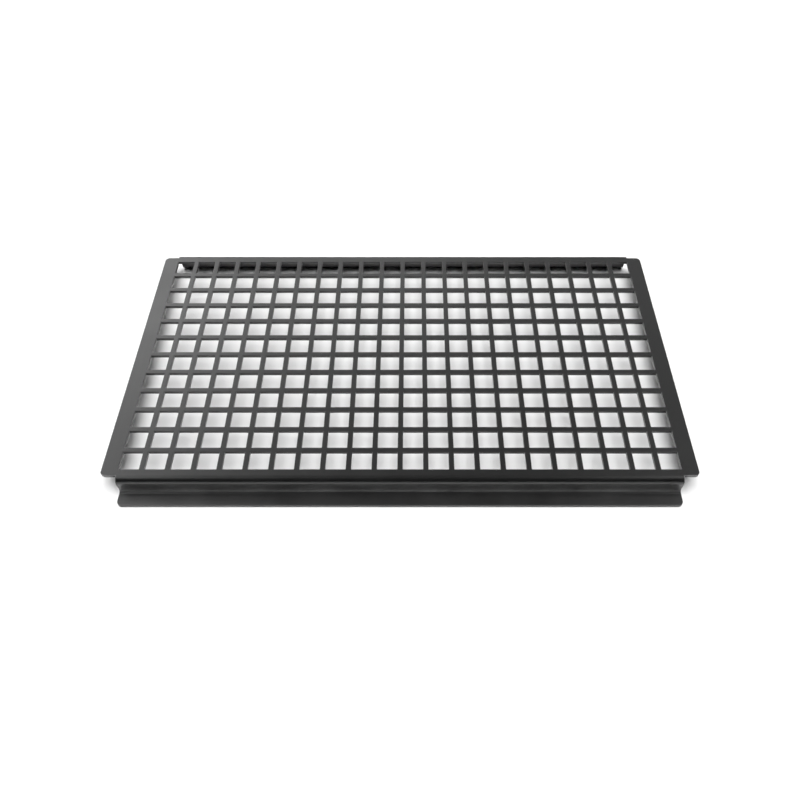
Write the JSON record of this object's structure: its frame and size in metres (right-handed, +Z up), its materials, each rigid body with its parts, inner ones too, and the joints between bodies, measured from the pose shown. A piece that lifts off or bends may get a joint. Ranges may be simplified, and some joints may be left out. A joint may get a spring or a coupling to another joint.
{
  "type": "light panel grid",
  "caption": "Flat folded sheet-metal grid with square apertures, and a wall and outward lip along each long edge, for the front of a light.",
  "frame": {"origin": "centred under the grid in X and Y, on the plane that the undersides of both lips rest on", "axes": "+X along the long side, +Y from the front flange to the rear flange, +Z up through the perforated face"},
  "size_m": [0.3466, 0.212, 0.0131],
  "materials": {
    "black_coat": "satin black powder coat"
  },
  "bodies": {
    "root": {"perforated_face": "black_coat", "front_wall": "black_coat", "front_lip": "black_coat", "rear_wall": "black_coat", "rear_lip": "black_coat"}
  },
  "joints": []
}
